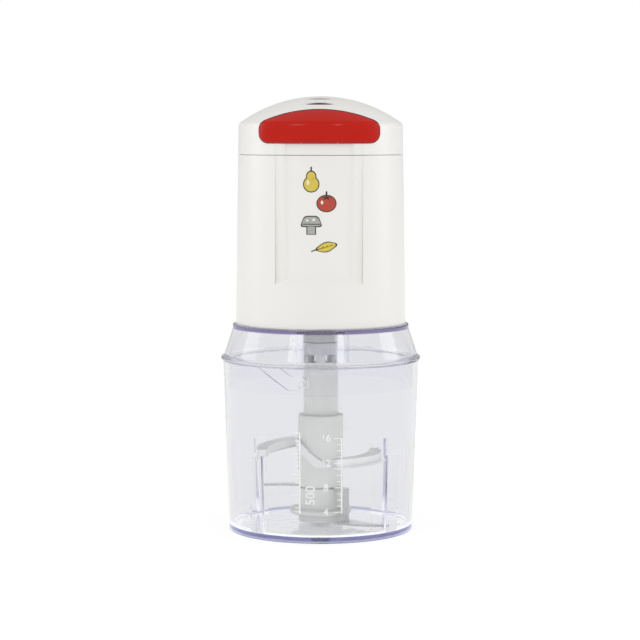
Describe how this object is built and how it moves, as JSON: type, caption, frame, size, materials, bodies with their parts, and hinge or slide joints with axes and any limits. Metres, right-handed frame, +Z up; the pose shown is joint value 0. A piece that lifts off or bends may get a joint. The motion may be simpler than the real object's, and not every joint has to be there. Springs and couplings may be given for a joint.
{
  "type": "food chopper",
  "caption": "Compact electric food chopper: round motor head with a push button on a clear twist-lock lid and bowl, with a two-level steel blade turning on a spindle.",
  "frame": {"origin": "middle of the bowl's underside, on the surface that the chopper stands on", "axes": "+Z up along the blade's axis, front with the button towards -Y, +X to the right of the front"},
  "size_m": [0.1192, 0.1192, 0.2585],
  "materials": {
    "clear_plastic": "clear, faint violet tint",
    "white_plastic": "glossy warm white",
    "red_plastic": "glossy red",
    "hub_plastic": "satin off-white",
    "bush_plastic": "satin",
    "coupling_plastic": "satin grey",
    "inner_plastic": "matte black",
    "silicone": "translucent grey",
    "rubber": "matte",
    "vent_foam": "open dark foam",
    "wire_cover": "matte",
    "steel": "brushed",
    "screw_steel": "zinc plated",
    "core_steel": "laminated",
    "copper": "enamelled copper",
    "bronze": "sintered bronze",
    "carbon": "pressed carbon"
  },
  "bodies": {
    "bowl": {"bowl": "clear_plastic", "spindle_pin": "steel"},
    "seal": {"lid_seal": "silicone"},
    "lid": {"lid": "clear_plastic"},
    "blade": {"hub_lower": "hub_plastic", "hub_bush": "bush_plastic", "hub_upper": "hub_plastic", "blade_clutch": "hub_plastic", "lower_blade": "steel", "upper_blade": "steel"},
    "head": {"motor_housing": "white_plastic", "top_cover": "white_plastic", "vent_pads": "vent_foam", "base_plate": "white_plastic", "base_screws": "screw_steel", "cord_grommet": "rubber", "switch_shelf": "inner_plastic", "shelf_screws": "screw_steel", "switch_body": "inner_plastic", "button_springs": "screw_steel", "stator_core": "core_steel", "field_coils": "copper", "motor_bracket": "inner_plastic", "motor_screws": "screw_steel", "lower_bush": "bronze", "upper_bush": "bronze", "brush_holders": "bronze", "carbon_brushes": "carbon", "brush_springs": "screw_steel", "lead_wires": "wire_cover"},
    "rotor": {"motor_shaft": "steel", "armature_core": "core_steel", "armature_windings": "copper", "commutator": "copper", "cooling_fan": "inner_plastic", "drive_coupling": "coupling_plastic"},
    "button": {"button": "red_plastic"},
    "plunger": {"switch_plunger": "inner_plastic"}
  },
  "joints": [
    {"name": "lid_lift", "type": "slide", "parent": "bowl", "child": "seal", "axis": [0, 0, 1], "range_m": [0, 0.0072]},
    {"name": "lid_twist", "type": "hinge", "parent": "seal", "child": "lid", "pos_m": [0, 0, 0.1018], "axis": [0, 0, 1], "range_deg": [-20, 0]},
    {"name": "head_lift", "type": "slide", "parent": "lid", "child": "head", "axis": [0, 0, 1], "range_m": [0, 0.15]},
    {"name": "motor_spin", "type": "hinge", "parent": "head", "child": "rotor", "pos_m": [0, 0, 0.17], "axis": [0, 0, 1], "continuous": true},
    {"name": "blade_spin", "type": "hinge", "parent": "bowl", "child": "blade", "pos_m": [0, 0, 0.03], "axis": [0, 0, 1], "continuous": true},
    {"name": "button_press", "type": "slide", "parent": "head", "child": "button", "axis": [0, 1, 0], "range_m": [0, 0.0035], "stiffness_N_per_m": 900, "springref_m": -0.004, "deforming": ["button_springs"]},
    {"name": "plunger_press", "type": "slide", "parent": "head", "child": "plunger", "axis": [0, 1, 0], "range_m": [0, 0.0035]}
  ],
  "couplings": [
    {"joint": "lid_lift", "follows": "lid_twist", "m_per_rad": -0.02034},
    {"joint": "blade_spin", "follows": "motor_spin", "ratio": 1},
    {"joint": "plunger_press", "follows": "button_press", "ratio": 1}
  ]
}
